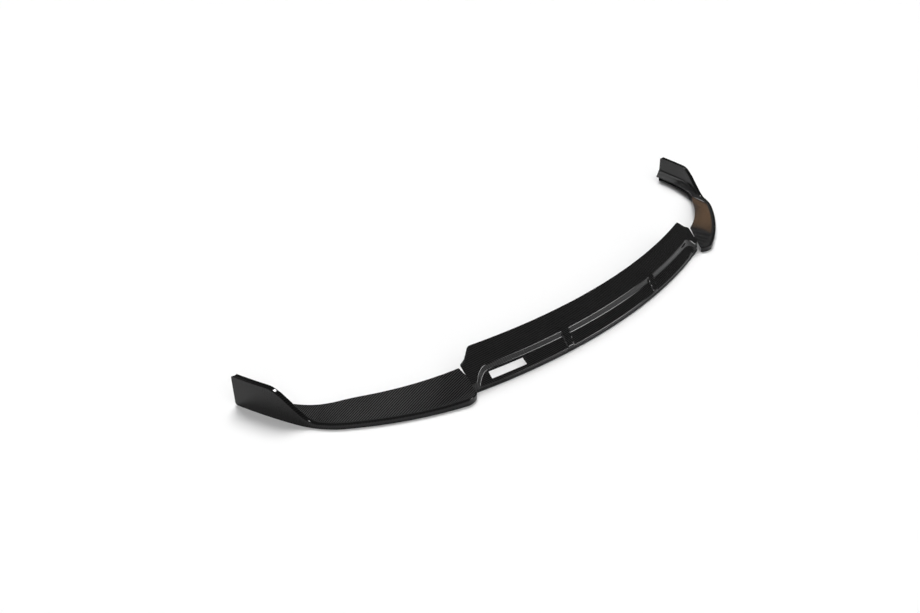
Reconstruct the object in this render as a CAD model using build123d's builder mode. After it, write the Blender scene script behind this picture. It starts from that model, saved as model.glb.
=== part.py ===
"""Three-piece front splitter lip: a centre chin panel and two mirrored corner lips with end fins.

Millimetres. The car faces -Y and +Z is up. The origin lies on the ground under the middle of the set.
"""
import os
from math import asin, cos, degrees, hypot, radians, sin, tan

from build123d import *

os.makedirs("parts", exist_ok=True)

# Overall
overall_depth = 424.0  # front of the centre rim to the rear end of the fins
wall = 2.5  # laminate thickness

# Centre lip, seen in its section: d runs back from the front rim, z runs up
rim_radius = 1854.0  # plan radius of the front rim
seam_x = 480.0  # half width of the centre lip
foot_height = 4.0  # small bead along the ground edge
foot_proud = 1.5
panel_front_z = 24.0  # height of the sloping panel above the front rim
panel_front_radius = 12.0
panel_top_z = 86.5
panel_top_d = 57.0
end_shoulder_z = 61.0  # the ends stand upright to this height, then sweep in
end_waist_inset = 16.0  # hollow of that sweep, inside the seam
end_waist_rise = 6.5
end_waist_radius = 14.0
top_corner_inset = 40.0
shoulder_radius = 5.0
top_corner_radius = 18.0

# Long pocket in the lower half of the centre panel
rim_top_d = 2.5  # front edge of the pocket floor
rim_top_z = 10.0
step_base_d = 21.0  # foot of the step behind the floor
step_base_z = 37.0
step_setback = 2.0  # upper edge of the step behind its foot
pocket_land = 11.0  # left beside the pocket at the front rim
pocket_end_angle = 46.0  # degrees between the ends of the pocket and the X axis, in plan
pocket_corner_radius = 58.0

# Gusset ribs that bridge the pocket
rib_x = 183.5
rib_ridge_width = 27.0
rib_rim_width = 18.0
rib_rim_rise = 3.0  # height left above the rim at the front of a rib

# Window through the pocket floor
window_left = -422.0
window_width = 99.0  # at its upper edge
window_left_slant = 2.0  # its lower corners lie further right than the upper ones
window_right_slant = 5.0
window_bottom_z = 15.5
window_height = 16.0
window_corner_radius = 1.5

# Corner lip: plan outline of its ground edge, three tangent arcs from the seam to the fin
outline_setback = 27.4  # start of the outline behind the centre of the front rim
outline_heading = 17.3  # degrees from the X axis
front_radius = 795.0
front_length = 315.0
bend_radius = 191.5
bend_length = 105.5
side_radius = 1130.0
side_length = 180.0

# Corner lip: heights and widths along that outline
rim_seam_height = 15.0
rim_height = 12.0
rim_bead_width = 6.5
rim_taper_length = 120.0
bead_drop = 1.5  # the panel starts this far below the bead
fin_height = 77.5
fin_start = 377.0  # outline length at which the fin starts to rise
fin_full = 494.0  # and at which it stands at full height
fin_lean = 3.0  # degrees outward
fin_top_width = 13.5
fin_top_start = 342.0  # the bead widens to the fin's top between these lengths
fin_top_full = 437.0
edge_blend = 3.0  # reach of the rounded top edges of rim and fin
bead_flat = 0.4  # least flat left between the two rounded edges of the bead
shelf_crease_z = 35.0
shelf_crease_inset = 8.0
groove_width = 4.5  # between the bead and the foot of the sloping panel
groove_seam_width = 17.5
cove_blend = 1.6  # reach of the rounded foot of the panel
cove_seam_blend = 8.0
cove_fin_blend = 7.0
blend_chords = 4
panel_width = 64.0
panel_tail_width = 25.0
panel_narrow_start = 270.0
panel_narrow_end = 530.0
panel_seam_z = 62.0  # height of the rear edge at the seam
panel_tail_z = 20.0  # and beside the fin
panel_fall = 1.5  # exponent of the fall between them

# Corner lip: ends
seam_flare_length = 15.0  # the butted seam opens towards the rear over this length
seam_flare_gap = 5.0
nose_length = 47.0  # outline length taken by the rounded front corner beside the seam
nose_setback = 22.0  # the rounded corner meets the seam this far behind the start of the outline
nose_overlap = 0.5
shelf_end_skew = 12.0  # degrees, rear end of the inner shelf beside the fin
fin_end_radius = 6.0  # rounded corners of the fin's rear end, at the top and at the ground

# Room left around cutting tools
spare = 20.0

# Sections of the corner lip: before, along and behind the rise of the fin
front_sections = 9
rise_sections = 6
rear_sections = 4
lead = 15.0  # the sections run past the seam by this much
run_out = 5.0  # and past the end of the fin by this much

ridge_d = step_base_d + step_setback
front_y = -overall_depth / 2
end_y = overall_depth / 2
centre_axis = Axis((0, front_y + rim_radius, 0), (0, 0, 1))
outline_length = front_length + bend_length + side_length


def ease(value, start, end):
    """Smooth step from 0 at start to 1 at end."""
    t = min(1.0, max(0.0, (value - start) / (end - start)))
    return t * t * (3 - 2 * t)


def mix(a, b, share):
    return a + (b - a) * share


def offset_open(points, distance):
    """Offset an open polyline to its right, with mitred corners."""
    lines = []
    for (ax, ay), (bx, by) in zip(points, points[1:]):
        length = hypot(bx - ax, by - ay)
        nx = (by - ay) / length * distance
        ny = -(bx - ax) / length * distance
        lines.append(((ax + nx, ay + ny), (bx + nx, by + ny)))
    moved = [lines[0][0]]
    for ((ax, ay), (bx, by)), ((cx, cy), (dx, dy)) in zip(lines, lines[1:]):
        ux, uy = bx - ax, by - ay
        vx, vy = dx - cx, dy - cy
        k = ((cx - ax) * vy - (cy - ay) * vx) / (ux * vy - uy * vx)
        moved.append((ax + k * ux, ay + k * uy))
    moved.append(lines[-1][1])
    return moved


def along(a, b, position):
    """Point of the line a to b at a given first coordinate."""
    share = (position - a[0]) / (b[0] - a[0])
    return (position, mix(a[1], b[1], share))


# Centre lip
panel_line = [(0, panel_front_z), (panel_top_d, panel_top_z)]


def radial_plane(angle):
    """Section plane through the axis of the front rim; its x is the radius."""
    out = (sin(radians(angle)), -cos(radians(angle)), 0)
    return Plane(origin=centre_axis.position, x_dir=out, z_dir=(out[1], -out[0], 0))


def swept_section(points, half_width, radii):
    """Revolve a section given as (d, z) about the axis of the front rim."""
    half_angle = degrees(asin(half_width / rim_radius))
    with BuildPart() as swept:
        with BuildSketch(radial_plane(-half_angle)):
            with BuildLine():
                FilletPolyline([(rim_radius - d, z) for d, z in points], radius=radii, close=True)
            make_face()
        revolve(axis=centre_axis, revolution_arc=2 * half_angle)
    return swept.part


def front_view(points, radii):
    """Extrude an outline drawn in the front view through the whole depth."""
    with BuildPart() as block:
        with BuildSketch(Plane.XZ):
            with BuildLine():
                FilletPolyline(points, radius=radii, close=True)
            make_face()
        extrude(amount=overall_depth, both=True)
    return block.part


def pocket_plan(z, skin):
    """Plan outline of the pocket's walls at height z: a long arc with swept ends, open to the front."""
    lean = (ridge_d - step_base_d) / (along(*panel_line, ridge_d)[1] - step_base_z)
    grow = skin + lean * (z - step_base_z)
    back_radius = rim_radius - step_base_d - grow
    slope = tan(radians(pocket_end_angle))
    front_half = seam_x - pocket_land
    end_half = front_half + grow / sin(radians(pocket_end_angle))
    sag = rim_radius - (rim_radius**2 - front_half**2) ** 0.5
    front = (end_half + spare / slope, front_y + sag - spare)
    corner_x = end_half - step_base_d / slope
    corner = (corner_x, front_y + rim_radius - (back_radius**2 - corner_x**2) ** 0.5)
    crown = (0, front_y + rim_radius - back_radius)
    with BuildSketch(Plane.XY.offset(z)) as plan:
        with BuildLine():
            ThreePointArc((-corner[0], corner[1]), crown, corner)
            Polyline([corner, front, (front[0], front_y - spare), (-front[0], front_y - spare),
                      (-front[0], front[1]), (-corner[0], corner[1])])
        make_face()
        fillet(plan.vertices().sort_by(Axis.Y)[-2:], pocket_corner_radius + grow)
    return plan.sketch


def pocket_tool(skin):
    """Space of the pocket, grown by the skin on the side of the material."""
    floor = offset_open([(rim_top_d, rim_top_z), (step_base_d, step_base_z)], skin)
    low = along(*floor, -2 * spare)
    high = along(*floor, step_base_d + spare)
    with BuildPart() as tool:
        loft([pocket_plan(-spare, skin), pocket_plan(panel_top_z, skin)], ruled=True)
        add(swept_section([low, high, (high[0], panel_top_z + spare), (low[0], panel_top_z + spare)],
                          seam_x + 2 * spare, 0), mode=Mode.INTERSECT)
        for side in (-1, 1):
            add(rib_block(side * rib_x, skin), mode=Mode.SUBTRACT)
    return tool.part


def rib_block(x, skin):
    """Gusset from the ridge down to the rim, shrunk by the skin."""
    ridge = along(*panel_line, ridge_d)
    crest = offset_open([(rim_top_d, rim_top_z + rib_rim_rise), ridge], skin)
    top_half = rib_ridge_width / 2 - skin
    low_half = rib_rim_width / 2 - skin
    with BuildPart() as rib:
        with BuildSketch(Plane.YZ.offset(x)):
            sag = front_y + rim_radius - (rim_radius**2 - x**2) ** 0.5
            front = along(*crest, -spare)
            back = along(*crest, ridge_d + spare)
            with BuildLine():
                profile = (front, back, (back[0], -2 * spare), (front[0], -2 * spare))
                Polyline([(sag + d, z) for d, z in profile], close=True)
            make_face()
        extrude(amount=rib_ridge_width, both=True)
        slope = (top_half - low_half) / (ridge[1] - rim_top_z)
        with BuildSketch(Plane.XZ):
            with BuildLine():
                high = top_half + slope * spare
                low = low_half - slope * (rim_top_z + spare)
                Polyline([(x - low, -spare), (x + low, -spare), (x + high, ridge[1] + spare),
                          (x - high, ridge[1] + spare)], close=True)
            make_face()
        extrude(amount=overall_depth, both=True, mode=Mode.INTERSECT)
    return rib.part


inner_line = offset_open(panel_line, wall)
over_top = along(*panel_line, panel_top_d + spare)
inside_low = along(*inner_line, foot_proud + wall)
inside_top = along(*inner_line, panel_top_d + 2 * spare)

with BuildPart() as centre_void:
    add(swept_section([(inside_low[0], -spare), inside_low, inside_top, (inside_top[0], -spare)],
                      seam_x + 2 * spare, 0))
    add(pocket_tool(wall), mode=Mode.SUBTRACT)

with BuildPart() as centre_lip:
    add(swept_section([(0, 0), (0, foot_height), (foot_proud, foot_height + foot_proud),
                       along(*panel_line, foot_proud), over_top, (over_top[0], 0)],
                      seam_x + spare, [0, 0, 0, panel_front_radius, 0, 0]))
    waist = (seam_x - end_waist_inset, end_shoulder_z + end_waist_rise)
    top_corner = (seam_x - top_corner_inset, panel_top_z)
    end_line = [(seam_x, -spare), (seam_x, end_shoulder_z), waist, top_corner]
    end_radii = [0, shoulder_radius, end_waist_radius, top_corner_radius]
    add(front_view(end_line + [(-x, z) for x, z in reversed(end_line)], end_radii + end_radii[::-1]),
        mode=Mode.INTERSECT)
    add(pocket_tool(0), mode=Mode.SUBTRACT)
    add(centre_void.part, mode=Mode.SUBTRACT)
    window_right = window_left + window_width
    window_top_z = window_bottom_z + window_height
    window_corners = [(window_left, window_top_z), (window_left + window_left_slant, window_bottom_z),
                      (window_right + window_right_slant, window_bottom_z), (window_right, window_top_z)]
    add(front_view(window_corners, window_corner_radius), mode=Mode.SUBTRACT)
centre_lip.part.label = "centre_lip"
export_step(centre_lip.part, "parts/centre_lip.step")


# Corner lips
def outline_at(s):
    """Point and heading of the ground edge at outline length s."""
    x, y, heading = seam_x, front_y + outline_setback, radians(outline_heading)
    arcs = ((front_radius, front_length), (bend_radius, bend_length), (side_radius, overall_depth))
    for radius, length in arcs:
        run = min(s, length)
        turned = heading + run / radius
        x += radius * (sin(turned) - sin(heading))
        y -= radius * (cos(turned) - cos(heading))
        heading = turned
        s -= run
    return x, y, heading


fin_end_x = outline_at(outline_length)[0]
skew_start_x = fin_end_x - shelf_crease_inset - cove_fin_blend


def section_plane(s):
    """Upright plane across the outline; its x points inward."""
    x, y, heading = outline_at(s)
    ahead = (cos(heading), sin(heading), 0)
    return Plane(origin=(x, y, 0), x_dir=(-ahead[1], ahead[0], 0), z_dir=ahead)


def visible_line(s):
    """Corners and blends of the visible surface across the outline, from the ground edge to the rear edge."""
    rise = ease(s, fin_start, fin_full)
    seam = 1 - ease(s, 0, rim_taper_length)
    rim = mix(rim_height, rim_seam_height, seam)
    top = mix(rim, fin_height, rise)
    lean = (top - rim) * tan(radians(fin_lean))
    bead = mix(rim_bead_width, fin_top_width, ease(s, fin_top_start, fin_top_full))
    foot = mix(bead + mix(groove_width, groove_seam_width, seam), shelf_crease_inset, rise)
    foot_z = mix(rim - bead_drop, shelf_crease_z, rise)
    width = mix(panel_width, panel_tail_width, ease(s, panel_narrow_start, panel_narrow_end))
    left = max(0.0, 1 - s / outline_length)
    rear_z = mix(panel_tail_z, panel_seam_z, left**panel_fall)
    cove = mix(mix(cove_blend, cove_seam_blend, seam), cove_fin_blend, rise)
    edge = min(edge_blend, (bead - bead_flat) / 2)
    corners = [(0, 0), (-lean, top), (bead - lean, top), (foot, foot_z), (width, rear_z)]
    return corners, [edge, edge, cove]


def stations():
    """Outline lengths of the sections, closer together where the fin rises."""
    yield from (mix(-lead, fin_start, i / front_sections) for i in range(front_sections))
    yield from (mix(fin_start, fin_full, i / rise_sections) for i in range(rise_sections))
    yield from (mix(fin_full, outline_length + run_out, i / rear_sections) for i in range(rear_sections + 1))


def toward(start, end, distance):
    """Point at a distance from start on the line to end."""
    share = distance / hypot(end[0] - start[0], end[1] - start[1])
    return (mix(start[0], end[0], share), mix(start[1], end[1], share))


def blended(points, reaches):
    """Round the inner corners of an open line by parabolic blends, each a row of short chords."""
    line = [points[0]]
    for before, corner, after, reach in zip(points, points[1:], points[2:], reaches):
        start = toward(corner, before, reach)
        end = toward(corner, after, reach)
        for i in range(blend_chords + 1):
            t = i / blend_chords
            line.append(tuple(mix(mix(a, b, t), mix(b, c, t), t) for a, b, c in zip(start, corner, end)))
    return line + [points[-1]]


def corner_loft(hollow):
    """Loft of the sections, either the full form or the space under the skin."""
    with BuildPart() as form:
        for s in stations():
            corners, blends = visible_line(s)
            line = blended(corners, blends)
            low = 0
            if hollow:
                low = -spare
                line = offset_open(corners, wall)
                line[0] = along(line[1][::-1], line[0][::-1], low)[::-1]
                line[-1] = along(line[-2], line[-1], line[-1][0] + spare)
            with BuildSketch(section_plane(s)):
                with BuildLine():
                    Polyline(line + [(line[-1][0], low)], close=True)
                make_face()
        loft()
    return form.part


def plan_trim(skin):
    """Plan outline of the corner lip, pulled in by the skin at the nose and at the fin's end."""
    x, y, heading = outline_at(nose_length)
    ahead = Vector(cos(heading), sin(heading))
    inward = Vector(-sin(heading), cos(heading))
    tangent = Vector(x, y) - inward * nose_overlap
    meet = Vector(seam_x, front_y + outline_setback + nose_setback)
    chord = meet - tangent
    radius = chord.dot(chord) / (2 * chord.dot(inward))
    centre = tangent + inward * radius
    tangent += inward * skin
    meet = centre + (meet - centre) * ((radius - skin) / radius)
    flare_y = front_y + outline_setback + panel_width - seam_flare_length
    rear_x = seam_x + seam_flare_gap / seam_flare_length * (end_y - flare_y)
    skew_drop = (skew_start_x - rear_x) * tan(radians(shelf_end_skew))
    inner_ends = [(skew_start_x, end_y), (rear_x, end_y - skew_drop), (seam_x, flare_y)]
    if skin:
        open_x = seam_x - 2 * skin
        inner_ends = [(skew_start_x, end_y - skin), (skew_start_x, end_y + spare), (open_x, end_y + spare),
                      (open_x, meet.Y)]
    far = tangent + ahead * overall_depth
    with BuildPart() as block:
        with BuildSketch(Plane.XY.offset(-2 * spare)):
            with BuildLine():
                RadiusArc(meet, tangent, -(radius - skin))
                Polyline([tangent, far, (far.X, end_y - skin)] + inner_ends + [meet])
            make_face()
        extrude(amount=fin_height + 4 * spare)
    return block.part


def end_rounding(z, inward):
    """Block outside a rounded corner of the fin's rear end; inward is 1 at the ground, -1 at the top."""
    middle = (end_y - fin_end_radius, z + inward * fin_end_radius)
    with BuildPart() as block:
        with BuildSketch(Plane.YZ.offset(skew_start_x - spare)):
            with Locations((middle[0] + spare / 2, middle[1] - inward * spare / 2)):
                Rectangle(spare, spare)
            with Locations(middle):
                Circle(fin_end_radius, mode=Mode.SUBTRACT)
        extrude(amount=4 * spare)
    return block.part


with BuildPart() as corner_void:
    add(corner_loft(True))
    add(plan_trim(wall), mode=Mode.INTERSECT)

with BuildPart() as left_corner_lip:
    add(corner_loft(False))
    add(plan_trim(0), mode=Mode.INTERSECT)
    add(corner_void.part, mode=Mode.SUBTRACT)
    add(end_rounding(0, 1), mode=Mode.SUBTRACT)
    add(end_rounding(fin_height, -1), mode=Mode.SUBTRACT)
left_corner_lip.part.label = "left_corner_lip"
export_step(left_corner_lip.part, "parts/left_corner_lip.step")

with BuildPart() as right_corner_lip:
    add(mirror(left_corner_lip.part, about=Plane.YZ, mode=Mode.PRIVATE))
right_corner_lip.part.label = "right_corner_lip"
export_step(right_corner_lip.part, "parts/right_corner_lip.step")
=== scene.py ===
"""Looks of the front splitter lip set: smooth skins of lacquered twill laminate on a white studio floor."""

from math import cos, hypot, pi, radians, sin, sqrt, tan

import bmesh
import bpy
import numpy as np
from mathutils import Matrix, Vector


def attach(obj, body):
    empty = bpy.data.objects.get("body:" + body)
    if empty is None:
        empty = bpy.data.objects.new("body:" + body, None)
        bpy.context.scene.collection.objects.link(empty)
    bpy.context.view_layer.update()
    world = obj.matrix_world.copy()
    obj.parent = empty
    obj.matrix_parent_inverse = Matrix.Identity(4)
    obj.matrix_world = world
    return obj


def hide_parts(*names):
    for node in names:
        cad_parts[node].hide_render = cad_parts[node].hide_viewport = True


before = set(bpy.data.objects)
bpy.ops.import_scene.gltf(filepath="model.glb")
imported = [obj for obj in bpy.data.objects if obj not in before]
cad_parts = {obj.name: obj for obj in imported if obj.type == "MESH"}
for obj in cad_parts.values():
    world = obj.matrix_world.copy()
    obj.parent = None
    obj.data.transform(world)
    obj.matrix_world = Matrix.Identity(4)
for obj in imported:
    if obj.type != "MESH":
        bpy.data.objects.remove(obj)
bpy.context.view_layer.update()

# Sizes of the set, in millimetres
MM_PER_M = 1000
FRONT_Y = -212.0
REAR_Y = 212.0
WALL = 2.5
RIM_R = 1854.0
SEAM_X = 480.0

# Edges at a seam: how far each stands back and is rounded, and the stretches over which the two set in
SEAM_GAP = 0.25
SEAM_ROUND = 1.6
SEAM_FADE = 6.0
ROUND_RISE = 6.0

# Making of the meshes
SHARP_ANGLE = radians(38)
HALVINGS = 60
LEAST_REACH = 1e-6


def mix(a, b, share):
    """Value that lies a share of the way from a to b."""
    return a + (b - a) * share


def ease(value, start, end):
    """Smooth step from 0 at start to 1 at end."""
    t = np.clip((value - start) / (end - start), 0, 1)
    return t * t * (3 - 2 * t)


def smooth_max(a, b, reach):
    """Larger of two values, rounded where they meet."""
    h = np.maximum(reach - np.abs(a - b), 0) / reach
    return np.maximum(a, b) + h * h * reach / 4


def smooth_min(a, b, reach):
    """Smaller of two values, rounded where they meet."""
    return -smooth_max(-a, -b, reach)


def cross(a, b):
    """Cross product of vectors in a plane."""
    return a[..., 0] * b[..., 1] - a[..., 1] * b[..., 0]


def rounding(beside, radius):
    """Drop of a surface that rounds off towards an edge."""
    rest = np.clip(radius - beside, 0, radius)
    return radius - np.sqrt(radius**2 - rest**2)


def lengths(rows):
    """Length along a line of points, or along each of several lines side by side."""
    steps = np.linalg.norm(np.diff(rows, axis=0), axis=-1)
    return np.concatenate([np.zeros_like(steps[:1]), np.cumsum(steps, axis=0)])


class Shell:
    """Collects the points, faces and cloth coordinates of one mesh."""

    def __init__(self):
        self.points = []
        self.coords = []
        self.sheen_shares = []
        self.faces = []

    def add(self, points, coords, sheen_share=1.0):
        """Add an array of points and return their numbers in the same layout.

        The last argument says how strongly the painted sheen of the weave shows there.
        """
        points = np.asarray(points, float)
        layout = points.shape[:-1]
        start = sum(len(p) for p in self.points)
        self.points.append(points.reshape(-1, 3))
        self.coords.append(np.asarray(coords, float).reshape(-1, 2))
        self.sheen_shares.append(np.broadcast_to(sheen_share, layout).ravel())
        return np.arange(start, start + len(self.points[-1])).reshape(layout)

    def grid(self, ids, keep=None):
        """Cover a layout of points with quads, or with only those to keep."""
        quads = np.stack([ids[:-1, :-1], ids[1:, :-1], ids[1:, 1:], ids[:-1, 1:]], -1)
        if keep is not None:
            quads = quads[keep]
        self.faces.extend(quads.reshape(-1, 4).tolist())

    def strip(self, a, b):
        """Join two rows of the same length."""
        self.grid(np.stack([a, b]))

    def face(self, ids):
        """Add one face with any number of corners."""
        self.faces.append([int(i) for i in ids])

    def build(self, name, node, mirrored=False):
        """Make the object, in metres, that stands for a node of the frame."""
        points = np.concatenate(self.points) / MM_PER_M
        coords = np.concatenate(self.coords) / MM_PER_M
        if mirrored:
            points = points * (-1, 1, 1)
        mesh = bpy.data.meshes.new(name)
        mesh.from_pydata(points.tolist(), [], self.faces)
        layer = mesh.uv_layers.new(name="weave")
        corners = np.zeros(len(mesh.loops), int)
        mesh.loops.foreach_get("vertex_index", corners)
        layer.data.foreach_set("uv", coords[corners].ravel())
        # Share of the painted sheen of the weave at each point
        sheen_shares = mesh.attributes.new("weave_sheen_share", "FLOAT", "POINT")
        sheen_shares.data.foreach_set("value", np.concatenate(self.sheen_shares))
        work = bmesh.new()
        work.from_mesh(mesh)
        bmesh.ops.triangulate(work, faces=[f for f in work.faces if len(f.verts) > 4])
        bmesh.ops.recalc_face_normals(work, faces=work.faces)
        work.to_mesh(mesh)
        work.free()
        mesh.shade_smooth()
        mesh.set_sharp_from_angle(angle=SHARP_ANGLE)
        obj = bpy.data.objects.new(name, mesh)
        bpy.context.scene.collection.objects.link(obj)
        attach(obj, "root")
        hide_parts(node)
        return obj


# Corner lips: the ground edge in plan is three tangent arcs, each with its radius and length
ARCS = ((795.0, 315.0), (191.5, 105.5), (1130.0, 1000.0))
HEADING = radians(17.3)
START_SETBACK = 27.4
START_Y = FRONT_Y + START_SETBACK
OUTLINE_LENGTH = 600.5
FIRST_R = ARCS[0][0]
FIRST_CENTRE = np.array([SEAM_X - FIRST_R * sin(HEADING), START_Y + FIRST_R * cos(HEADING)])

# Stretches of outline over which the section changes
SEAM_STRETCH = (0.0, 120.0)
PANEL_STRETCH = (270.0, 530.0)
BEAD_STRETCH = (342.0, 437.0)
FIN_STRETCH = (377.0, 494.0)

# Section across the outline: heights of the rim and the fin, the bead on top of them
EDGE = 3.0
RIM_Z = 12.0
RIM_SEAM_Z = 15.0
FIN_TOP = 77.5
FIN_LEAN = tan(radians(3))
BEAD = 6.5
BEAD_FIN = 13.5

# Section across the outline: the groove behind the bead and its cove, then the panel
GROOVE = 4.5
GROOVE_SEAM = 17.5
GROOVE_DROP = 1.5
FIN_FOOT = 8.0
FIN_FOOT_Z = 35.0
COVE = 1.6
COVE_SEAM = 8.0
COVE_FIN = 7.0
PANEL_WIDTH = 64.0
SHELF_WIDTH = 25.0
PANEL_REAR_Z = 62.0
SHELF_REAR_Z = 20.0
REAR_FALL = 1.5
INNER_BLENDS = (0.3, 0.3, 0.8)

# End at the seam: the rounded nose at the front and the flare at the rear
NOSE_LENGTH = 47.0
NOSE_DEPTH = 22.0
NOSE_OVERRUN = 0.5
NOSE_MEET = np.array([SEAM_X, START_Y + NOSE_DEPTH])
FLARE_LENGTH = 15.0
FLARE_WIDTH = 5.0
FLARE_SLOPE = FLARE_WIDTH / FLARE_LENGTH
FLARE_Y = START_Y + PANEL_WIDTH - FLARE_LENGTH

# Rear end: rounded on the fin, skewed on the shelf from SKEW_X inward
SKEW_X = 841.3
SKEW = tan(radians(12.0))
END_ROUND = 6.0
END_WALL = 0.3

# Rows of the mesh across the section: on its four straight runs and on the blends between them
STRAIGHT = (14, 3, 12, 26)
BLENDS = (7, 7, 9)
WALL_ROWS = STRAIGHT[0]
TOP_ROW = STRAIGHT[0] + BLENDS[0]
ROW_COUNT = sum(STRAIGHT) + sum(BLENDS) + 1
LEAST_STEP = 0.12
EDGE_STEPS = np.arange(BLENDS[0])[:, None] / BLENDS[0]

# Columns of the mesh along the outline: beside the seam, along the middle and at the tail
SEAM_S = 112.0
TAIL_S = 545.0
TAIL_LIMIT = 660.0
SEAM_COLUMNS = 64
MIDDLE_COLUMNS = 150
TAIL_COLUMNS = 21
SEAM_NEAR = (0, 0.15, 0.35, 0.6, 0.9, 1.3, 1.8, 2.5, 3.4)
SEAM_NEXT = 4.5
SEAM_PULL = 4
NOSE_STEPS = 400
FRONT_STEPS = 200

# Turn of the cloth on the corner lips, in plan
CLOTH_TURN = radians(39.0)


def outline_at(s):
    """Point and inward direction of the ground edge at outline length s."""
    rest = np.asarray(s, float)
    x = np.full_like(rest, SEAM_X)
    y = np.full_like(rest, START_Y)
    heading = np.full_like(rest, HEADING)
    for radius, length in ARCS:
        run = np.minimum(rest, length)
        turned = heading + run / radius
        x = x + radius * (np.sin(turned) - np.sin(heading))
        y = y - radius * (np.cos(turned) - np.cos(heading))
        heading, rest = turned, rest - run
    return np.stack([x, y], -1), np.stack([-np.sin(heading), np.cos(heading)], -1)


def outline_coords(plan):
    """Outline length and inward distance of plan points beside the first arc."""
    w = plan - FIRST_CENTRE
    angle = np.arctan2(w[..., 0], -w[..., 1])
    return (angle - HEADING) * FIRST_R, FIRST_R - np.hypot(w[..., 0], w[..., 1])


def section(s):
    """Corners (inward, height) of the visible surface across the outline, and the reach of their blends."""
    s = np.asarray(s, float)
    rise = ease(s, *FIN_STRETCH)
    seam = 1 - ease(s, *SEAM_STRETCH)
    rim = mix(RIM_Z, RIM_SEAM_Z, seam)
    top = mix(rim, FIN_TOP, rise)
    lean = (top - rim) * FIN_LEAN
    bead = mix(BEAD, BEAD_FIN, ease(s, *BEAD_STRETCH))
    foot = mix(bead + mix(GROOVE, GROOVE_SEAM, seam), FIN_FOOT, rise)
    foot_z = mix(rim - GROOVE_DROP, FIN_FOOT_Z, rise)
    width = mix(PANEL_WIDTH, SHELF_WIDTH, ease(s, *PANEL_STRETCH))
    rear_z = mix(SHELF_REAR_Z, PANEL_REAR_Z, np.maximum(0, 1 - s / OUTLINE_LENGTH) ** REAR_FALL)
    cove = mix(mix(COVE, COVE_SEAM, seam), COVE_FIN, rise)
    zero = np.zeros_like(s)
    corners = [(zero, zero), (-lean, top), (bead - lean, top), (foot, foot_z), (width, rear_z)]
    return np.array([np.stack(c, -1) for c in corners]), [zero + EDGE, zero + EDGE, cove]


def offset_line(corners, distance):
    """Corners moved to the right of their line, mitred, down to the ground and out to the rear edge."""
    run = np.diff(corners, axis=0)
    unit = run / np.linalg.norm(run, axis=-1, keepdims=True)
    side = np.stack([unit[..., 1], -unit[..., 0]], -1) * distance
    start = corners[:-1] + side
    moved = [start[0] - unit[0] * (start[0][..., 1:] / unit[0][..., 1:])]
    for i in range(len(run) - 1):
        gap = start[i + 1] - start[i]
        along = cross(gap, unit[i + 1]) / cross(unit[i], unit[i + 1])
        moved.append(start[i] + along[..., None] * unit[i])
    end = corners[-1][..., 0] - start[-1][..., 0]
    moved.append(start[-1] + unit[-1] * (end / unit[-1][..., 0])[..., None])
    return np.array(moved)


def shares(count):
    """Steps from 0 up to 1, closer together at both ends."""
    return (1 - np.cos(np.pi * np.arange(count) / count)) / 2


def towards(corner, other, reach):
    """Point that lies reach away from a corner on the way to another one."""
    run = other - corner
    return corner + run * (reach / np.linalg.norm(run, axis=-1))[..., None]


def dense(corners, reaches):
    """Rows of points along a section, with parabolic blends at the inner corners."""
    rows = []
    last = corners[0]
    for i, reach in enumerate(reaches):
        before, corner, after = corners[i:i + 3]
        a = towards(corner, before, reach)
        b = towards(corner, after, reach)
        rows += [mix(last, a, share) for share in shares(STRAIGHT[i])]
        for k in range(BLENDS[i]):
            t = k / BLENDS[i]
            rows.append(mix(mix(a, corner, t), mix(corner, b, t), t))
        last = b
    rows += [mix(last, corners[-1], k / STRAIGHT[3]) for k in range(STRAIGHT[3] + 1)]
    return np.array(rows)


def skin_rows(s, inner):
    """Rows (inward, height) of the visible surface, or of the one under it."""
    corners, reaches = section(s)
    if inner:
        corners = offset_line(corners, WALL)
        reaches = [reach * share for reach, share in zip(reaches, INNER_BLENDS)]
    return dense(corners, reaches)


def own_rows(s, inner):
    """Each row's point of the section at that row's own outline length."""
    rows = skin_rows(s, inner)
    own = np.arange(len(s))
    return rows[own, own]


def placed(s, rows):
    """Points in space of the section rows at outline lengths s."""
    origin, inward = outline_at(s)
    plan = origin + inward * rows[..., :1]
    return np.concatenate([plan, rows[..., 1:]], -1)


def cloth(s, run):
    """Coordinates on the cloth, laid flat over the plan and turned to its weave."""
    origin, inward = outline_at(s)
    rest = lengths(skin_rows(np.ravel(s), False))[TOP_ROW].reshape(np.shape(s))
    flat = origin + inward * (run - rest)[..., None]
    x, y = flat[..., 0], flat[..., 1]
    c, d = cos(CLOTH_TURN), sin(CLOTH_TURN)
    return np.stack([x * c + y * d, y * c - x * d], -1)


def seam_end(y):
    """Place across the car of the end at the seam: straight, then flared."""
    return SEAM_X + np.maximum(0, y - FLARE_Y) * FLARE_SLOPE


def seam_corner():
    """Rear corner at the seam, where the flare meets the rear edge of the panel."""
    low, high = FLARE_Y, FLARE_Y + PANEL_WIDTH
    for _ in range(HALVINGS):
        y = (low + high) / 2
        corner = np.array([seam_end(y), y])
        if outline_coords(corner)[1] < PANEL_WIDTH:
            low = y
        else:
            high = y
    return corner


def seam_line(share, corner):
    """Plan points at shares of the end at the seam, from the nose to its rear corner."""
    knee = FLARE_Y - NOSE_MEET[1]
    whole = knee + hypot(corner[0] - SEAM_X, corner[1] - FLARE_Y)
    stops = (0, knee, whole)
    x = np.interp(share * whole, stops, (SEAM_X, SEAM_X, corner[0]))
    y = np.interp(share * whole, stops, (NOSE_MEET[1], FLARE_Y, corner[1]))
    return np.stack([x, y], -1)


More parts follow.
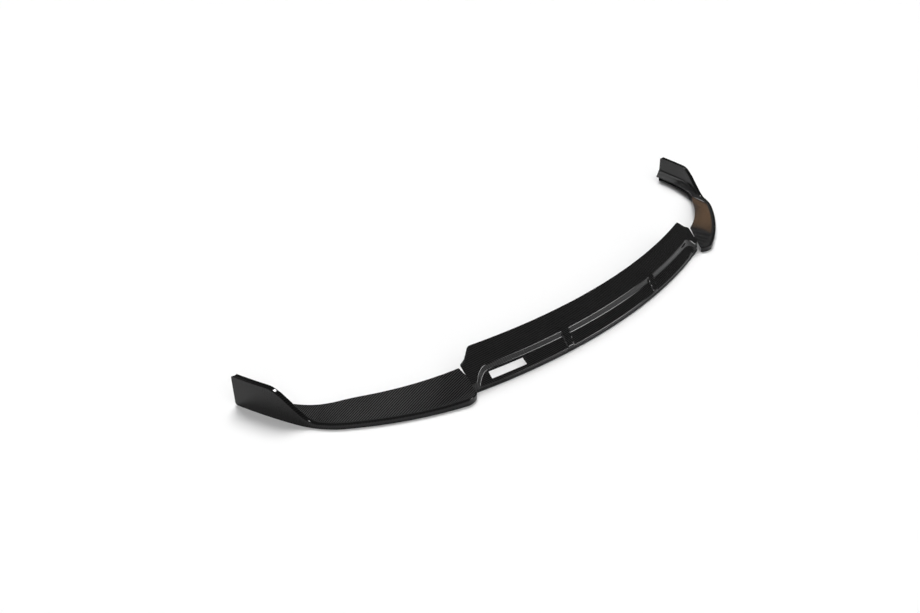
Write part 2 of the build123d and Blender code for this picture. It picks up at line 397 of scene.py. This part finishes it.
def seam_front():
    """Front edge from the seam to SEAM_S, round the nose: its points and their shares of its length."""
    origin, inward = outline_at(NOSE_LENGTH)
    tangent = origin - inward * NOSE_OVERRUN
    chord = NOSE_MEET - tangent
    radius = chord @ chord / (2 * chord @ inward)
    centre = tangent + inward * radius
    start, end = (np.arctan2(*(p - centre)[::-1]) % (2 * pi) for p in (NOSE_MEET, tangent))
    turn = np.linspace(start, end, NOSE_STEPS)
    s, n = outline_coords(centre + radius * np.stack([np.cos(turn), np.sin(turn)], -1))
    origin, inward = outline_at(s)
    nose = origin + inward * np.maximum(n, 0)[:, None]
    beyond = outline_at(np.linspace(NOSE_LENGTH, SEAM_S, FRONT_STEPS)[1:])[0]
    line = np.concatenate([nose, beyond])
    run = lengths(line)
    wide = np.linspace(SEAM_NEXT, run[-1], SEAM_COLUMNS - len(SEAM_NEAR))
    at = np.concatenate([SEAM_NEAR, wide])
    return np.stack([np.interp(at, run, line[:, i]) for i in (0, 1)], -1), at / run[-1]


def seam_shares(front, span, inner):
    """Share of the span from the front edge to the rear edge at which each row lies."""
    s, n = outline_coords(front)
    want = (skin_rows(s, inner)[TOP_ROW:, :, 0] - n) / (PANEL_WIDTH - n)
    inset = WALL if inner else EDGE
    least = (inset + LEAST_STEP * np.arange(len(want))[:, None]) / span
    flat = np.clip(np.maximum(want, least), 0, 1)
    flat[-1] = 1
    if inner:
        upright = np.repeat(inset / span[None], TOP_ROW, 0)
    else:
        blend = EDGE * EDGE_STEPS * EDGE_STEPS / span
        upright = np.concatenate([np.zeros((WALL_ROWS, len(span))), blend])
    return np.concatenate([upright, flat])


def on_sections(n, rows, values):
    """Values at inward distances n, each read from a section of its own behind the front edge."""
    pairs = enumerate(n.ravel())
    found = [np.interp(a, rows[TOP_ROW:, k, 0], values[TOP_ROW:, k]) for k, a in pairs]
    return np.reshape(found, n.shape)


def seam_zone(inner):
    """Points and cloth coordinates of the lip beside the seam, as (row, column)."""
    front, along = seam_front()
    corner = seam_corner()
    origin, inward = outline_at(mix(outline_coords(corner)[0], SEAM_S, along))
    rear = origin + inward * PANEL_WIDTH
    share = seam_shares(front, np.linalg.norm(rear - front, axis=-1), inner)
    plan = front + (rear - front) * share[..., None]
    straight = front[0] + (rear[0] - front[0]) * share[..., None]
    pull = ((1 - along) ** SEAM_PULL)[:, None]
    plan = plan + (seam_line(share, corner) - straight) * pull
    s, n = outline_coords(plan)
    rows = skin_rows(s.ravel(), inner)
    z = on_sections(n, rows, rows[..., 1])
    run = on_sections(n, rows, lengths(rows))
    beside = plan[..., 0] - seam_end(plan[..., 1])
    if inner:
        z[:TOP_ROW] *= np.linspace(0, 1, TOP_ROW, endpoint=False)[:, None]
    else:
        drop = EDGE * (1 - EDGE_STEPS) ** 2
        run[WALL_ROWS:TOP_ROW] -= drop
        z[WALL_ROWS:TOP_ROW] -= drop
        z[:WALL_ROWS] = (z[:WALL_ROWS] - EDGE) * shares(WALL_ROWS)[:, None]
        run[:WALL_ROWS] += z[:WALL_ROWS] - z[TOP_ROW]
        z = np.maximum(0, z - rounding(beside, SEAM_ROUND) * ease(z, 0, ROUND_RISE))
    plan[..., 0] += SEAM_GAP * np.clip(1 - beside / SEAM_FADE, 0, 1)
    return np.concatenate([plan, z[..., None]], -1), cloth(s, run)


def rear_limit(x, z):
    """Rear end: rounded at the top and the ground on the fin, and skewed on the shelf."""
    edge = rounding(np.minimum(z, FIN_TOP - z), END_ROUND)
    return np.where(x >= SKEW_X, REAR_Y - edge, REAR_Y - (SKEW_X - x) * SKEW)


def inner_limit(x, z):
    """Rear end of the surface under it, ahead of the wall that closes the fin."""
    limit = rear_limit(x, z)
    return np.where(x >= SKEW_X, np.minimum(REAR_Y - WALL, limit - END_WALL), limit)


def tail_ends(inner):
    """Outline length at which each row reaches the rear end."""
    limit = inner_limit if inner else rear_limit
    low = np.full(ROW_COUNT, TAIL_S)
    high = np.full(ROW_COUNT, TAIL_LIMIT)
    for _ in range(HALVINGS):
        s = (low + high) / 2
        x, y, z = placed(s, own_rows(s, inner)).T
        behind = y > limit(x, z)
        high = np.where(behind, s, high)
        low = np.where(behind, low, s)
    return (low + high) / 2


def corner_skin(inner):
    """Points and cloth coordinates of one skin of a corner lip, as (row, column)."""
    points, coords = seam_zone(inner)
    points, coords = [points[:, :-1]], [coords[:, :-1]]
    s = np.linspace(SEAM_S, TAIL_S, MIDDLE_COLUMNS)
    rows = skin_rows(s, inner)
    points.append(placed(s, rows))
    coords.append(cloth(np.broadcast_to(s, rows.shape[:2]), lengths(rows)))
    ends = tail_ends(inner)
    for t in np.linspace(0, 1, TAIL_COLUMNS + 1)[1:]:
        own = mix(TAIL_S, ends, t)
        line = own_rows(own, inner)
        points.append(placed(own, line)[:, None])
        coords.append(cloth(own, lengths(line))[:, None])
    return np.concatenate(points, 1), np.concatenate(coords, 1)


def close_rear(shell, outer, inner, end_points, end_coords):
    """Close the rear end: two plates across the fin, and the edge of the shelf."""
    cut = int(np.argmax(end_points[:, 0] < SKEW_X))
    x = end_points[cut, 0]
    feet = [(x, REAR_Y - END_ROUND, 0), (x, REAR_Y - END_ROUND - END_WALL, 0)]
    foot, post = shell.add(feet, [end_coords[cut], end_coords[cut]])
    shell.face([*outer[:cut + 1, -1], foot])
    shell.face([*inner[:cut + 1, -1], post])
    shell.face([foot, post, inner[cut, -1], outer[cut, -1]])
    shell.strip(outer[cut:, -1], inner[cut:, -1])


def corner_lip(name, node, mirrored):
    """Skin of one corner lip; the painted sheen of the weave fades from the panel to the bead and the outer
    face.
    """
    shell = Shell()
    outer_points, outer_coords = corner_skin(False)
    inner_points, inner_coords = corner_skin(True)
    bead_end = TOP_ROW + STRAIGHT[1]
    # Painted sheen of the weave: none on the outer face and the bead, growing to full on the panel
    sheen_share = ease(np.arange(ROW_COUNT), bead_end, bead_end + BLENDS[1])[:, None]
    outer = shell.add(outer_points, outer_coords, sheen_share)
    inner = shell.add(inner_points, inner_coords)
    shell.grid(outer)
    shell.grid(inner)
    shell.strip(outer[0], inner[0])
    shell.strip(outer[-1], inner[-1])
    shell.strip(outer[:, 0], inner[:, 0])
    close_rear(shell, outer, inner, outer_points[:, -1], outer_coords[:, -1])
    return shell.build(name, node, mirrored)


# Centre lip: a panel that slopes up from the rim; v runs up the panel and depth runs inward from it
PANEL_Z = 24.0
PANEL_DEPTH = 57.0
PANEL_RISE = 62.5
PANEL_L = hypot(PANEL_DEPTH, PANEL_RISE)
UP_D = PANEL_DEPTH / PANEL_L
UP_Z = PANEL_RISE / PANEL_L
TOP_Z = PANEL_Z + PANEL_RISE
AXIS = np.array([0.0, FRONT_Y + RIM_R])

# Bead at the ground edge, as (distance behind the front, height), and the face above it
FACE_D = 1.5
BEAD_POINTS = ((0.0, 0.0), (0.0, 4.0), (FACE_D, 5.5))

# Pocket: the front edge of its floor, the foot and the ridge of its step, its slanted ends
FLOOR_D = 2.5
FLOOR_Z = 10.0
BASE_D = 21.0
BASE_Z = 37.0
FLOOR_SLOPE = (BASE_D - FLOOR_D) / (BASE_Z - FLOOR_Z)
RIDGE_D = 23.0
RIDGE_Z = PANEL_Z + RIDGE_D * PANEL_RISE / PANEL_DEPTH
LEAN = (RIDGE_D - BASE_D) / (RIDGE_Z - BASE_Z)
FRONT_HALF = 469.0
FRONT_SAG = RIM_R - sqrt(RIM_R**2 - FRONT_HALF**2)
END_ANGLE = radians(46.0)
END_OUT = np.array([sin(END_ANGLE), cos(END_ANGLE)])
END_R = 58.0

# Ribs across the pocket, wider towards their upper end, with steep sides
RIB_X = 183.5
RIB_FOOT_Z = 13.0
RIB_HALF = 9.0
RIB_SPREAD = 4.5 / 39.2
RIB_SIDE = 5.0

# Window through the pocket floor; its sides lean by the slant at their lower end
WINDOW_X = (-422.0, -323.0)
WINDOW_Z = (15.5, 31.5)
WINDOW_SLANT = (2.0, 5.0)
SLANT_FOOT_Z = 8.0
SLANT_AT = (-445.0, WINDOW_X[0], -372.0, WINDOW_X[1], -285.0)
SLANT_BY = (0.0, WINDOW_SLANT[0], 0.0, WINDOW_SLANT[1], 0.0)

# Reach of the roundings; those at the foot and the ridge of the step grow over POCKET_END
POCKET_END = (405.0, 430.0)
FOOT_REACH = (2.0, 4.5)
RIDGE_REACH = (2.4, 5.0)
RIM_REACH = 4.2
RIB_TOP_REACH = 1.2
RIB_FOOT_REACH = 1.0

# Ends of the centre lip in the front view, as (across, height), with the radius of each corner
END_POINTS = ((SEAM_X, -30.0), (SEAM_X, 61.0), (464.0, 67.5), (440.0, TOP_Z), (0.0, TOP_Z))
END_RADII = (5.0, 14.0, 18.0)
END_START = 400.0


def panel_coords(d, z):
    """Position v and depth of a section point that lies d behind the front, at height z."""
    return d * UP_D + (z - PANEL_Z) * UP_Z, d * UP_Z - (z - PANEL_Z) * UP_D


def tilt(a, b):
    """Length of a line between two section points for each step up the panel."""
    return hypot(1, (b[1] - a[1]) / (b[0] - a[0]))


def line_at(v, a, b):
    """Depth at v of the line through two section points."""
    return a[1] + (v - a[0]) * (b[1] - a[1]) / (b[0] - a[0])


def plan_y(x, d):
    """Place along the car of a point that lies d behind the front."""
    return AXIS[1] - np.sqrt((RIM_R - d) ** 2 - x**2)


def end_side(x, y):
    """Distance inside the slanted end of the pocket."""
    return (FRONT_HALF - x) * END_OUT[0] + (FRONT_Y + FRONT_SAG - y) * END_OUT[1]


def end_centre():
    """Centre of the rounding between the pocket's step and its slanted end."""
    low, high = 0.0, FRONT_HALF
    for _ in range(HALVINGS):
        x = (low + high) / 2
        y = plan_y(x, BASE_D - END_R)
        if end_side(x, y) > END_R:
            low = x
        else:
            high = x
    return np.array([x, y])


def filleted(points, radii, steps=24):
    """Open line of points with arcs at its inner corners."""
    points = [np.array(p, float) for p in points]
    line = [points[0]]
    for before, corner, after, radius in zip(points, points[1:], points[2:], radii):
        a = (before - corner) / np.linalg.norm(before - corner)
        b = (after - corner) / np.linalg.norm(after - corner)
        half = np.arccos(np.clip(a @ b, -1, 1)) / 2
        centre = corner + (a + b) / np.linalg.norm(a + b) * radius / sin(half)
        start, end = corner + a * radius / tan(half), corner + b * radius / tan(half)
        for t in np.linspace(0, 1, steps):
            w = mix(start, end, t) - centre
            line.append(centre + w / np.linalg.norm(w) * radius)
    return np.array(line + [points[-1]])


BEAD_V, BEAD_DEPTH = zip(*(panel_coords(d, z) for d, z in BEAD_POINTS))
FLOOR_A = panel_coords(FLOOR_D, FLOOR_Z)
FLOOR_B = panel_coords(BASE_D, BASE_Z)
RIB_A = panel_coords(FLOOR_D, RIB_FOOT_Z)
RIB_B = panel_coords(RIDGE_D, RIDGE_Z)
END_CENTRE = end_centre()
END_LINE = filleted(END_POINTS, END_RADII)[:-1]

# How far up the panel the rows of the inner skin stand from those of the outer one
SHIFT_AT = (BEAD_V[0], -1.9, 17.9, 40.0, PANEL_L)
INNER_SHIFT = (2.695, 2.09, 2.09, 2.28, 2.28)

# Mesh columns from the middle outward, as (end, step): close at the ribs, the pocket's end and the seam
COLUMN_PARTS = ((160, 8), (207, 1.1), (323, 6), (395, 4), (422, 1.5), (474, 0.8), (479, 0.5), (SEAM_X, 0.17))

# Mesh rows up the panel, as (end, step): close at the bead and at each rounding, with steps for the window
BEAD_PARTS = ((BEAD_V[1], 1.0), (BEAD_V[2], 0.7), (-11.5, 0.6), (-8.5, 0.4))
STEP_PARTS = ((20, 1.0), (25, 0.42), (32, 1.0), (37, 0.42))
UPPER_PARTS = ((48, 2.2), (61, 0.8), (74, 2.2), (PANEL_L, 0.9))
WINDOW_STEPS = (1.1, 1.2)


def pocket_edge(x, y):
    """Distance inside the pocket's plan outline at the foot of its step, and the y part of its slope."""
    x = np.abs(x)
    back = np.hypot(x, y - AXIS[1]) - (RIM_R - BASE_D)
    side = end_side(x, y)
    w = np.stack([x, y], -1) - END_CENTRE
    reach = np.hypot(w[..., 0], w[..., 1])
    past_step = cross(w, AXIS - END_CENTRE) > 0
    past_end = cross(w, END_OUT) < 0
    in_sector = past_step & past_end & (w @ END_OUT > 0)
    edge = np.where(in_sector, END_R - reach, np.minimum(back, side))
    on_run = np.where(back < side, 1.0, END_OUT[1])
    return edge, np.where(in_sector, w[..., 1] / np.maximum(reach, LEAST_REACH), on_run)


def centre_depth(x, v, skin):
    """Depth below the plane of the panel of the surface, or of the one that lies skin under it."""
    d = v * UP_D
    z = PANEL_Z + v * UP_Z
    face = (FACE_D + skin - d) / UP_Z
    base = smooth_max(face, skin + 0 * v, RIM_REACH)
    edge, ahead = pocket_edge(x, plan_y(x, d))
    walls = (edge + skin + LEAN * (z - BASE_Z)) / (UP_Z * ahead + LEAN * UP_D)
    floor = line_at(v, FLOOR_A, FLOOR_B) + skin * tilt(FLOOR_A, FLOOR_B)
    at_end = ease(np.abs(x), *POCKET_END)
    pocket = smooth_min(floor, walls, mix(*FOOT_REACH, at_end))
    rib_top = line_at(v, RIB_A, RIB_B) + skin * tilt(RIB_A, RIB_B)
    half = RIB_HALF + RIB_SPREAD * (z - FLOOR_Z) - skin
    rib = rib_top + RIB_SIDE * (np.abs(np.abs(x) - RIB_X) - half)
    pocket = smooth_min(pocket, smooth_max(rib, rib_top, RIB_TOP_REACH), RIB_FOOT_REACH)
    depth = smooth_max(base, pocket, mix(*RIDGE_REACH, at_end))
    if skin:
        return depth
    return np.where(v <= BEAD_V[2], np.interp(v, BEAD_V, BEAD_DEPTH), depth)


def spaced(start, *parts):
    """Positions after a start, in (end, step) parts."""
    values = [start]
    for end, step in parts:
        count = max(1, int(round(abs(end - values[-1]) / step)))
        values += list(np.linspace(values[-1], end, count + 1)[1:])
    return np.array(values)


def centre_skin(columns, rows, inner):
    """Points and cloth coordinates of one skin of the centre lip, as (row, column)."""
    skin = WALL if inner else 0.0
    v = rows + np.interp(rows, SHIFT_AT, INNER_SHIFT) if inner else rows
    v = np.broadcast_to(v[:, None], (len(rows), len(columns)))
    x = np.broadcast_to(columns, v.shape)
    z = PANEL_Z + v * UP_Z - skin * UP_D
    end = np.interp(z, END_LINE[:, 1], END_LINE[:, 0])
    outer_x = END_START + (end - END_START) * (np.abs(x) - END_START) / (SEAM_X - END_START)
    x = np.where(np.abs(x) > END_START, np.sign(x) * outer_x, x)
    lower = 1 - np.clip((z - WINDOW_Z[0]) / (WINDOW_Z[1] - WINDOW_Z[0]), 0, 1)
    lower = lower * np.clip((z - SLANT_FOOT_Z) / (WINDOW_Z[0] - SLANT_FOOT_Z), 0, 1)
    x = x + lower * np.interp(x, SLANT_AT, SLANT_BY)
    depth = centre_depth(x, v, skin)
    beside = end - np.abs(x)
    if not inner:
        depth = depth + rounding(beside, SEAM_ROUND) * ease(v, BEAD_V[2], BEAD_V[2] + ROUND_RISE)
    x = x - np.sign(x) * SEAM_GAP * np.clip(1 - beside / SEAM_FADE, 0, 1)
    d = v * UP_D + depth * UP_Z
    z = PANEL_Z + v * UP_Z - depth * UP_D
    return np.stack([x, plan_y(x, d), np.maximum(z, 0)], -1), np.stack([x, v + depth], -1)


def centre_lip():
    """Skin of the centre lip, with the window cut through it."""
    shell = Shell()
    low_v, high_v = (panel_coords(FLOOR_D + (z - FLOOR_Z) * FLOOR_SLOPE, z)[0] for z in WINDOW_Z)
    window_parts = zip((low_v, high_v), WINDOW_STEPS)
    rows = spaced(BEAD_V[0], *BEAD_PARTS, *window_parts, *STEP_PARTS, *UPPER_PARTS)
    right = spaced(0, *COLUMN_PARTS)
    columns = np.concatenate([-right[:0:-1], right])
    outer = shell.add(*centre_skin(columns, rows, False))
    inner = shell.add(*centre_skin(columns, rows, True))
    c0, c1 = (int(np.argmin(np.abs(columns - x))) for x in WINDOW_X)
    r0, r1 = (int(np.argmin(np.abs(rows - v))) for v in (low_v, high_v))
    keep = np.ones((len(rows) - 1, len(columns) - 1), bool)
    keep[r0:r1, c0:c1] = False
    shell.grid(outer, keep)
    shell.grid(inner, keep)
    window_rows = slice(r0, r1 + 1)
    window_columns = slice(c0, c1 + 1)
    for row in (r0, r1):
        shell.strip(outer[row, window_columns], inner[row, window_columns])
    for column in (c0, c1):
        shell.strip(outer[window_rows, column], inner[window_rows, column])
    for row in (0, -1):
        shell.strip(outer[row], inner[row])
    for column in (0, -1):
        shell.strip(outer[:, column], inner[:, column])
    return shell.build("centre_lip_skin", "centre_lip")


# Material: two-by-two twill of flat tows, in metres, under clear lacquer; the sheen of the tows and the
# shade across each tow are painted into its colour
TOW = 0.00153
REPEAT = 4.0
WARP_UP = 1.5
CROWN_FALL = 3.0
PLAIN_SHARE = 0.15


def math_node(tree, operation, *values):
    """Result of a math node that takes sockets or plain numbers."""
    node = tree.nodes.new("ShaderNodeMath")
    node.operation = operation
    for socket, value in zip(node.inputs, values):
        if isinstance(value, bpy.types.NodeSocket):
            tree.links.new(value, socket)
        else:
            socket.default_value = value
    return node.outputs[0]


def mix_node(tree, factor, a, b):
    """Result of a node that blends two sockets by a third."""
    node = tree.nodes.new("ShaderNodeMix")
    node.data_type = "FLOAT"
    tree.links.new(factor, node.inputs["Factor"])
    tree.links.new(a, node.inputs["A"])
    tree.links.new(b, node.inputs["B"])
    return node.outputs["Result"]


def set_inputs(node, values):
    """Set a node's own sockets by name."""
    for name, value in values.items():
        node.inputs[name].default_value = value


def twill(name, shaded_tow_tone, sheen_tow_tone, plain_tone):
    """Laminate whose two sets of tows are painted lighter and darker for their sheen, with shade painted
    across each tow; the plain tone is where the painted sheen fades.
    """
    material = bpy.data.materials.new(name)
    material.use_nodes = True
    tree = material.node_tree
    shader = tree.nodes["Principled BSDF"]
    place = tree.nodes.new("ShaderNodeUVMap")
    place.uv_map = "weave"
    split = tree.nodes.new("ShaderNodeSeparateXYZ")
    tree.links.new(place.outputs["UV"], split.inputs[0])
    across = math_node(tree, "DIVIDE", split.outputs[0], TOW)
    up = math_node(tree, "DIVIDE", split.outputs[1], TOW)
    cell = math_node(tree, "ADD", math_node(tree, "FLOOR", across), math_node(tree, "FLOOR", up))
    phase = math_node(tree, "FLOORED_MODULO", cell, REPEAT)
    warp = math_node(tree, "LESS_THAN", phase, WARP_UP)
    # Crown of each tow: the height of its bump, and also painted shade that darkens the tow towards its
    # edges
    in_column = math_node(tree, "SUBTRACT", math_node(tree, "FRACT", across), 0.5)
    in_row = math_node(tree, "SUBTRACT", math_node(tree, "FRACT", up), 0.5)
    off_middle = mix_node(tree, warp, in_row, in_column)
    fall = math_node(tree, "MULTIPLY", math_node(tree, "POWER", off_middle, 2.0), CROWN_FALL)
    crown = math_node(tree, "SUBTRACT", 1.0, fall)
    noise = tree.nodes.new("ShaderNodeTexNoise")
    tree.links.new(place.outputs["UV"], noise.inputs["Vector"])
    set_inputs(noise, {"Scale": 14.0, "Detail": 3.0})
    patches = math_node(tree, "MULTIPLY_ADD", noise.outputs["Fac"], 0.3, 0.85)
    # Painted shade across each tow, times random patches of tone
    crown_shade_and_patches = math_node(tree, "MULTIPLY", crown, patches)
    # Warp and weft tows painted lighter and darker: painted sheen of the tows
    dark = math_node(tree, "MULTIPLY", crown_shade_and_patches, shaded_tow_tone)
    light = math_node(tree, "MULTIPLY", crown_shade_and_patches, sheen_tow_tone)
    painted_weave = mix_node(tree, warp, dark, light)
    # Where the painted sheen fades, a plain tone that keeps a little of the weave
    sheen_share = tree.nodes.new("ShaderNodeAttribute")
    sheen_share.attribute_name = "weave_sheen_share"
    plain = math_node(tree, "MULTIPLY_ADD", painted_weave, PLAIN_SHARE, plain_tone)
    tone = mix_node(tree, sheen_share.outputs["Fac"], plain, painted_weave)
    colour = tree.nodes.new("ShaderNodeCombineColor")
    for socket in colour.inputs[:3]:
        tree.links.new(tone, socket)
    tree.links.new(colour.outputs[0], shader.inputs["Base Color"])
    bump = tree.nodes.new("ShaderNodeBump")
    set_inputs(bump, {"Strength": 0.35, "Distance": 0.0002})
    tree.links.new(crown, bump.inputs["Height"])
    tree.links.new(bump.outputs["Normal"], shader.inputs["Normal"])
    set_inputs(shader, {"Roughness": 0.42, "Specular IOR Level": 0.0})
    set_inputs(shader, {"Coat Weight": 0.6, "Coat Roughness": 0.03, "Coat IOR": 1.5})
    return material


# The corner and centre copies differ only in painted sheen: strong contrast between the tows on the corners,
# less on the centre lip
corner_laminate = twill("carbon_laminate_corner", shaded_tow_tone=0.002, sheen_tow_tone=0.066, plain_tone=0.003)
centre_laminate = twill("carbon_laminate_centre", shaded_tow_tone=0.009, sheen_tow_tone=0.033, plain_tone=0.003)
corner_lip("left_corner_skin", "left_corner_lip", False).data.materials.append(corner_laminate)
corner_lip("right_corner_skin", "right_corner_lip", True).data.materials.append(corner_laminate)
centre_lip().data.materials.append(centre_laminate)


# Studio: a white floor, two soft suns and cards that show in the lacquer alone
FLOOR_HALF = 200.0
FLOOR_DROP = 0.0004
PAPER_TONE = 0.94
WORLD_LEVEL = 0.04


def aimed(name, data, place, aim):
    """Light at a place, turned to its aim, that the camera doesn't see."""
    light = bpy.data.objects.new(name, data)
    bpy.context.scene.collection.objects.link(light)
    light.location = place
    light.rotation_euler = (Vector(aim) - Vector(place)).to_track_quat("-Z", "Y").to_euler()
    light.visible_camera = False
    return light


def sun(name, place, level, angle):
    """Wide soft light that gives a level of 1 to a surface facing it; it leaves no spot in the lacquer."""
    data = bpy.data.lights.new(name, "SUN")
    data.energy = level * pi
    data.angle = radians(angle)
    aimed(name, data, place, (0, 0, 0)).visible_glossy = False


def card(name, place, aim, size, radiance, colour=(1, 1, 1)):
    """Soft box seen in the lacquer, brightest in its middle; a lit white surface has a radiance of 1."""
    data = bpy.data.lights.new(name, "AREA")
    data.shape = "RECTANGLE"
    data.size, data.size_y = size
    data.energy = radiance * size[0] * size[1] * pi
    data.color = colour
    data.use_nodes = True
    tree = data.node_tree
    place_on = tree.nodes.new("ShaderNodeNewGeometry")
    split = tree.nodes.new("ShaderNodeSeparateXYZ")
    tree.links.new(place_on.outputs["Parametric"], split.inputs[0])
    falls = []
    for socket in split.outputs[:2]:
        side = math_node(tree, "ABSOLUTE", math_node(tree, "MULTIPLY_ADD", socket, 2.0, -1.0))
        falls.append(math_node(tree, "SUBTRACT", 1.0, math_node(tree, "POWER", side, 2.0)))
    strength = math_node(tree, "MULTIPLY", *falls)
    tree.links.new(strength, tree.nodes["Emission"].inputs["Strength"])
    aimed(name, data, place, aim).visible_diffuse = False


scene = bpy.context.scene
scene.view_settings.view_transform = "Standard"

floor_mesh = bpy.data.meshes.new("floor")
floor_corners = [(x * FLOOR_HALF, y * FLOOR_HALF, 0) for x, y in ((-1, -1), (1, -1), (1, 1), (-1, 1))]
floor_mesh.from_pydata(floor_corners, [], [(0, 1, 2, 3)])
floor = bpy.data.objects.new("floor", floor_mesh)
scene.collection.objects.link(floor)
floor.location.z = -FLOOR_DROP
paper = bpy.data.materials.new("paper")
paper.use_nodes = True
paper_shader = paper.node_tree.nodes["Principled BSDF"]
set_inputs(paper_shader, {"Base Color": (PAPER_TONE, PAPER_TONE, PAPER_TONE, 1)})
set_inputs(paper_shader, {"Roughness": 0.9, "Specular IOR Level": 0.0})
floor_mesh.materials.append(paper)

world = bpy.data.worlds.new("studio")
scene.world = world
world.use_nodes = True
set_inputs(world.node_tree.nodes["Background"], {"Color": (1, 1, 1, 1), "Strength": WORLD_LEVEL})

sun("key", place=(0.35, 0.45, 0.82), level=0.85, angle=35)
sun("fill", place=(-0.35, -0.60, 0.72), level=0.47, angle=60)
card("overhead", place=(-0.65, -0.45, 3.0), aim=(-0.65, -0.45, 0.0), size=(3.0, 3.0), radiance=0.4)
card("strip", place=(2.24, -3.32, 0.47), aim=(0, 0, 0.1), size=(3.2, 0.45), radiance=22.0)
card("corner", place=(4.29, 0.62, 6.2), aim=(-0.83, 0.1, 0.07), size=(1.15, 1.2), radiance=70.0)
card("rear", place=(-0.66, 5.72, 4.85), aim=(0.83, 0.17, 0.03), size=(7.0, 3.2), radiance=2.6)
card("warm", place=(3.6, 0.46, 0.32), aim=(0.65, -0.06, 0.03), size=(1.2, 0.62), radiance=0.6,
     colour=(1.0, 0.52, 0.2))

# Camera, in metres and degrees
CAMERA_PLACE = (-1.9339, -1.4108, 1.3140)
CAMERA_DIP = 29.505
CAMERA_TURN = -48.215

camera_data = bpy.data.cameras.new("camera")
camera_data.sensor_fit = "HORIZONTAL"
camera_data.sensor_width = 36.0
camera_data.lens = 40.97
camera = bpy.data.objects.new("camera", camera_data)
scene.collection.objects.link(camera)
camera.location = CAMERA_PLACE
camera.rotation_euler = (radians(90 - CAMERA_DIP), 0, radians(CAMERA_TURN))
scene.camera = camera
